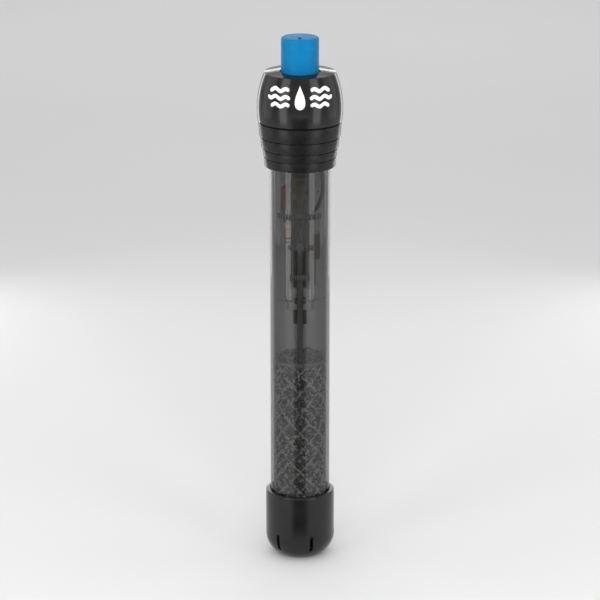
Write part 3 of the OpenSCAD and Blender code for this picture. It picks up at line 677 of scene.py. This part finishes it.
def element_path():
    """The line that the coiled heating wire follows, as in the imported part."""
    steps, half = 40, 20
    count = WIRE_TURNS * steps
    out_r, in_r = WIRE_LAYERS[0][0], WIRE_LAYERS[1][0]
    bottom_dip, top_run, z_spiral = 1.9, 4.6, Z_WIRE1 + 4.8
    path = [Vector((0, FRONT_LEAD_Y, Z_WIRE1 + 3))]
    for i in range(count + 1):
        path.append(around(out_r, 2 * math.pi * i / steps, Z_WIRE1 - WIRE_RISE * i / count))
    for i in range(1, half):
        t = math.pi * i / half
        path.append(around(out_r + (in_r - out_r) * i / half, t, Z_WIRE0 - bottom_dip * math.sin(t)))
    for i in range(count + 1):
        path.append(around(in_r, math.pi + 2 * math.pi * i / steps, Z_WIRE0 + WIRE_RISE * i / count))
    for i in range(1, half + 1):
        path.append(around(in_r, math.pi + math.pi * i / half, Z_WIRE1 + top_run * i / half))
    for i in range(1, half):
        path.append(around(in_r * (1 - i / half), math.pi * i / half, z_spiral))
    path.append(Vector((0, 0, z_spiral + 1)))
    return path


def resampled(path, step):
    """Points at even spacing along a path."""
    made, left = [path[0].copy()], step
    for a, b in zip(path, path[1:]):
        length, gone = (b - a).length, 0.0
        while length - gone >= left:
            gone += left
            made.append(a.lerp(b, gone / length))
            left = step
        left -= length - gone
    return made


def make_heating_wire():
    coil_r, wire_r, pitch, per_turn, sides = 0.38, 0.14, 0.55, 7, 4
    line = resampled(element_path(), pitch / per_turn)
    path = []
    for i, (p, side, other) in enumerate(directions_along(line)):
        t = 2 * math.pi * i / per_turn
        path.append(p + coil_r * (math.cos(t) * side + math.sin(t) * other))
    wire = placed("heating_coil", wire_mesh(path, wire_r, sides))
    finished(wire, resistance_wire, "housing", ["heating_wire"])


def from_winding(angle, z):
    """How far a place in the sand is from the nearest winding, in mm."""
    nearest = math.inf
    if z > Z_WIRE1 + 1 or z < Z_WIRE0 - 1:
        return nearest
    pitch = WIRE_RISE / WIRE_TURNS
    for r, hand in WIRE_LAYERS:
        turns = angle / (2 * math.pi)
        level = Z_WIRE1 - pitch * turns if hand > 0 else Z_WIRE0 + pitch * (turns - 0.5)
        off = (z - level + pitch / 2) % pitch - pitch / 2
        slope = math.cos(math.atan2(pitch, 2 * math.pi * r))
        nearest = min(nearest, abs(off) * slope)
    return nearest


# The grains lie in a layer of this radius. Light grains among them mark crossing diagonals, which are
# SEAM_GAP apart round the tube, with weaker ones halfway between.
GRAIN_R = 9.3
SEAM_COUNT, SEAM_SLOPE = 8, 0.95
SEAM_GAP = 2 * math.pi * GRAIN_R / SEAM_COUNT


def on_seam(angle, z, half_width=0.9):
    """Is this place on one of the main diagonals?"""
    return any(abs((angle * GRAIN_R + hand * z * SEAM_SLOPE) % SEAM_GAP - SEAM_GAP / 2) < half_width
               for hand in (-1, 1))


class Heap:
    """A heap of stretched and turned grains that becomes one piece."""

    def __init__(self, rng):
        self.rng, self.points, self.faces = rng, [], []

    def add(self, centre, size):
        axis = Vector([self.rng.gauss(0, 1) for _ in range(3)]).normalized()
        turn = Matrix.Rotation(self.rng.uniform(0, 6.28), 3, axis)
        stretch = [self.rng.uniform(0.7, 1.0) for _ in range(3)]
        first = len(self.points)
        for v in GRAIN_POINTS:
            p = Vector([a * b * self.rng.uniform(0.86, 1.0) for a, b in zip(v, stretch)])
            self.points.append((centre + size * (turn @ p)) * MM)
        self.faces.extend(tuple(first + i for i in f) for f in GRAIN_FACES)

    def make(self, name, look):
        data = bpy.data.meshes.new(name)
        data.from_pydata(self.points, [], self.faces)
        grains = bpy.data.objects.new(name, data)
        bpy.context.scene.collection.objects.link(grains)
        finished(grains, look, "housing")


def grain_shape():
    """Points and faces of a ball of twenty faces."""
    ball = bmesh.new()
    bmesh.ops.create_icosphere(ball, subdivisions=1, radius=1)
    points = [v.co.copy() for v in ball.verts]
    faces = [tuple(v.index for v in f.verts) for f in ball.faces]
    ball.free()
    return points, faces


GRAIN_POINTS, GRAIN_FACES = grain_shape()


def make_sand_body():
    """The sand behind the grains: a solid bottom and top, and a core between them."""
    end, core_r, top_r, z_waist0, z_waist1 = 5.75, 6.8, SAND_R - 0.9, 12.6, Z_SAND1 - 4.6
    profile = [(0, Z_SAND0)] + quarter(SAND_R, end, Z_SAND0, 10)
    profile += [(SAND_R, z_waist0), (core_r, z_waist0 + 1), (core_r, z_waist1), (top_r, z_waist1 + 1.2),
                (top_r, Z_SAND1), (0, Z_SAND1)]
    body = placed("sand_body", turned(profile, segments=96))
    finished(body, sand_core, "housing", ["quartz_sand"])


def lay_grains(rng, dark, light):
    """Rings of mixed grains against the glass, bare over a winding and thinned beside it."""
    spacing, z = 0.98, 9.5
    ring_rise = spacing * 0.88
    count = int(2 * math.pi * GRAIN_R / spacing)
    bare_width, thinned_width, thinned_share = 0.5, 0.9, 0.2
    light_share, light_share_on_seam = 0.1, 0.6
    while z < Z_SAND1 - 0.3:
        shift = rng.random()
        for k in range(count):
            angle = 2 * math.pi * (k + shift + rng.uniform(-0.25, 0.25)) / count
            level = z + rng.uniform(-0.3, 0.3)
            off = from_winding(angle, level)
            if off < bare_width or (off < thinned_width and rng.random() < thinned_share):
                continue
            size = rng.uniform(0.42, 0.68)
            middle_r = SAND_R - size * 0.95 - rng.uniform(0, 0.35)
            share = light_share_on_seam if on_seam(angle, level) else light_share
            heap = light if rng.random() < share else dark
            heap.add(around(middle_r, angle, min(level, Z_SAND1 - size)), size)
        z += ring_rise


def lay_seams(rng, light):
    """Lines of light grains along the diagonals, with more gaps in the weaker lines between the main ones."""
    main_share, weak_share, rise = 0.82, 0.2, 0.5
    for hand in (-1, 1):
        for n in range(2 * SEAM_COUNT):
            share = weak_share if n % 2 else main_share
            level = 9.6
            while level < Z_SAND1 - 0.6:
                across = (n + 1) / 2 * SEAM_GAP - hand * level * SEAM_SLOPE + rng.uniform(-0.3, 0.3)
                size = rng.uniform(0.36, 0.58)
                if rng.random() < share:
                    light.add(around(SAND_R - size * 0.92, across / GRAIN_R, level), size)
                level += rise


def scatter_grains(rng, dark):
    """Loose grains on the mica disc, fewer in its middle and clear of the two leads."""
    tries, disc_r, thinned_r, thinned_share = 230, 9.2, 6.6, 0.6
    lead_room, front_lead_room = 2.2, 1.9
    front_lead = Vector((0, FRONT_LEAD_Y, 0))
    z_disc = high("mica_disc").z
    for _ in range(tries):
        reach, angle = disc_r * math.sqrt(rng.random()), 2 * math.pi * rng.random()
        size = rng.uniform(0.4, 0.62)
        spot = around(reach, angle)
        left_out = reach < thinned_r and rng.random() < thinned_share
        if left_out or reach < lead_room or (spot - front_lead).length < front_lead_room:
            continue
        spot.z = z_disc + size * rng.uniform(0.8, 2.2)
        dark.add(spot, size)


def make_sand():
    make_sand_body()
    rng = random.Random(7)
    dark, light = Heap(rng), Heap(rng)
    lay_grains(rng, dark, light)
    lay_seams(rng, light)
    scatter_grains(rng, dark)
    dark.make("sand_grains", grey_quartz)
    light.make("sand_grains_milky", milky_quartz)


# ---- CAD nodes that keep their shape ----

# The look of each node, and the width of the bevel on its edges
KEPT = {
    "spindle": (brass, 0.15),
    "shaft_seals": (black_rubber, 0),
    "spindle_clip": (steel, 0.06),
    "adjuster_screw": (brass, 0.08),
    "head_core": (black_matte, 0.2),
    "glass_seal": (black_rubber, 0),
    "tube_stopper": (red_silicone, 0.15),
    "spindle_bush": (brass, 0.1),
    "end_cushion": (clear_silicone, 0.15),
    "thermostat_bracket": (steel, 0.12),
    "adjuster_nut": (brass, 0.15),
    "stack_insulators": (white_ceramic, 0.2),
    "stack_rivet": (silver_contact, 0.15),
    "terminal_tabs": (leaf_brass, 0.05),
    "contact_leaf": (leaf_brass, 0.05),
    "leaf_contact": (silver_contact, 0.12),
    "magnet": (dark_iron, 0.1),
    "bimetal_strip": (bimetal, 0.06),
    "bimetal_contact": (silver_contact, 0.12),
    "armature": (dark_iron, 0.1),
    "live_lead": (brown_insulation, 0),
    "neutral_lead": (blue_insulation, 0),
    "lead_sleeve": (dark_sleeve, 0),
    "heater_lead": (black_insulation, 0),
    "crimp_ferrules": (dark_iron, 0.12),
    "indicator_lamp": (lamp_glass, 0.1),
    "lamp_resistor": (resistor_lacquer, 0.2),
    "suppressor_capacitor": (capacitor_lacquer, 0.5),
    "mica_disc": (mica, 0.1),
    "ceramic_former": (white_ceramic, 0.2),
}


def dress_cad_nodes():
    for name, (look, edge) in KEPT.items():
        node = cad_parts[name]
        node.data.materials.clear()
        node.data.materials.append(look)
        for place in node.material_slots:
            place.material = look
        if edge:
            soften(node, edge)


# ---- Stage ----

def staged(name, mesh, look, **visible):
    piece = placed(name, mesh)
    piece.data.materials.append(look)
    for key, value in visible.items():
        setattr(piece, key, value)
    return piece


def flat_panel(corners):
    mesh = bmesh.new()
    mesh.faces.new([mesh.verts.new(c) for c in corners])
    return mesh


def lamp(name, place, target, size, power):
    data = bpy.data.lights.new(name, "AREA")
    data.shape, data.size, data.size_y, data.energy = "RECTANGLE", size[0], size[1], power
    light = bpy.data.objects.new(name, data)
    bpy.context.scene.collection.objects.link(light)
    light.location = place
    light.rotation_euler = (Vector(target) - Vector(place)).to_track_quat("-Z", "Y").to_euler()
    light.visible_camera = False
    return light


# Half the angle of the card on the floor, and where it begins to fade out
CARD_HALF, CARD_SOLID = math.radians(30), math.radians(12)


def dark_strip():
    """Material of the card on the floor: dark along its middle, and fading out to both sides."""
    made = Look("stage_dark", grey(0.012), grey(0.015), (0.8, 0.9), scale=5)
    split = made.node("ShaderNodeSeparateXYZ", {0: made.node("ShaderNodeTexCoord").outputs["Object"]})
    slope = made.node("ShaderNodeMath", {0: split.outputs["X"], 1: split.outputs["Y"]}, operation="DIVIDE")
    side = made.node("ShaderNodeMath", {0: slope.outputs[0]}, operation="ABSOLUTE")

    def fade(value, start, end, most):
        span = {"Value": value, "From Min": start, "From Max": end, "To Min": most, "To Max": 0.0}
        return made.node("ShaderNodeMapRange", span, interpolation_type="SMOOTHSTEP").outputs["Result"]

    across = fade(side.outputs[0], math.tan(CARD_SOLID), math.tan(CARD_HALF), 0.92)
    along = fade(split.outputs["Y"], -0.05, -0.02, 1.0)
    share = made.node("ShaderNodeMath", {0: across, 1: along}, operation="MULTIPLY")
    made.link(share.outputs[0], made.shader.inputs["Alpha"])
    return made.material


def make_floor():
    look = plastic("stage_floor", grey(0.6), grey(0.62), (0.7, 0.8), scale=3, grain=60, relief=0.01)
    floor = bmesh.new()
    bmesh.ops.create_circle(floor, cap_ends=True, radius=6, segments=96)
    staged("stage_floor", floor, look)


def set_world():
    world = bpy.data.worlds.new("studio")
    bpy.context.scene.world = world
    world.use_nodes = True
    background = world.node_tree.nodes["Background"]
    background.inputs["Color"].default_value = grey(1.0)
    background.inputs["Strength"].default_value = 0.5


def set_lamps():
    """Two tall boxes in front with helpers at their sides and behind, and broad light from all round."""
    centre = (0, 0, 0.09)
    for name, side, power in (("left_box", -1, 0.5), ("right_box", 1, 0.45)):
        lamp(name, (side * 0.28, -0.28, 0.2), centre, (0.16, 0.42), power)
        lamp(name + "_side", (side * 0.42, 0.05, 0.25), centre, (0.3, 0.5), power * 0.6)
        lamp(name + "_rim", (side * 0.22, 0.34, 0.12), centre, (0.08, 0.4), power * 0.55)
    lamp("top_box", (0, -0.1, 1.6), centre, (1.5, 1.5), 8)
    lamp("back_box", (0, 2.2, 2.0), (0, 1.2, 0), (2.5, 1.5), 9)
    lamp("front_fill", (0, -0.9, 0.5), centre, (0.6, 0.6), 6.0).visible_glossy = False
    lamp("back_strip", (0, 1.3, 0.42), (0, 0, 0.18), (1.1, 0.12), 1.6)


def make_card():
    """Wedge of dark card in front of the tube, seen only as its reflection in the glossy pieces."""
    near, far, z_card = 0.014, 0.75, 0.001
    corners = [(math.sin(side * CARD_HALF) * reach, -math.cos(CARD_HALF) * reach, z_card)
               for side, reach in ((-1, near), (1, near), (1, far), (-1, far))]
    staged("stage_card", flat_panel(corners), dark_strip(), visible_camera=False, visible_diffuse=False,
           visible_shadow=False, visible_transmission=False)


def set_stage():
    bpy.context.scene.view_settings.view_transform = "Standard"
    make_floor()
    set_world()
    set_lamps()
    make_card()


def set_camera():
    pitch, distance, aim = math.radians(16.4), 1.1, Vector((0, 0, 0.0990))
    data = bpy.data.cameras.new("camera")
    camera = bpy.data.objects.new("camera", data)
    bpy.context.scene.collection.objects.link(camera)
    camera.location = aim + distance * Vector((0, -math.cos(pitch), math.sin(pitch)))
    camera.rotation_euler = (math.pi / 2 - pitch, 0, 0)
    data.lens, data.sensor_width = 178.5, 36
    data.clip_start, data.clip_end = 0.01, 50
    bpy.context.scene.camera = camera


make_knob()
make_head()
make_clamp_nut()
make_gland()
make_head_mark()
make_tube()
make_glass_prints()
make_cap()
make_heating_wire()
make_sand()
dress_cad_nodes()
set_stage()
set_camera()
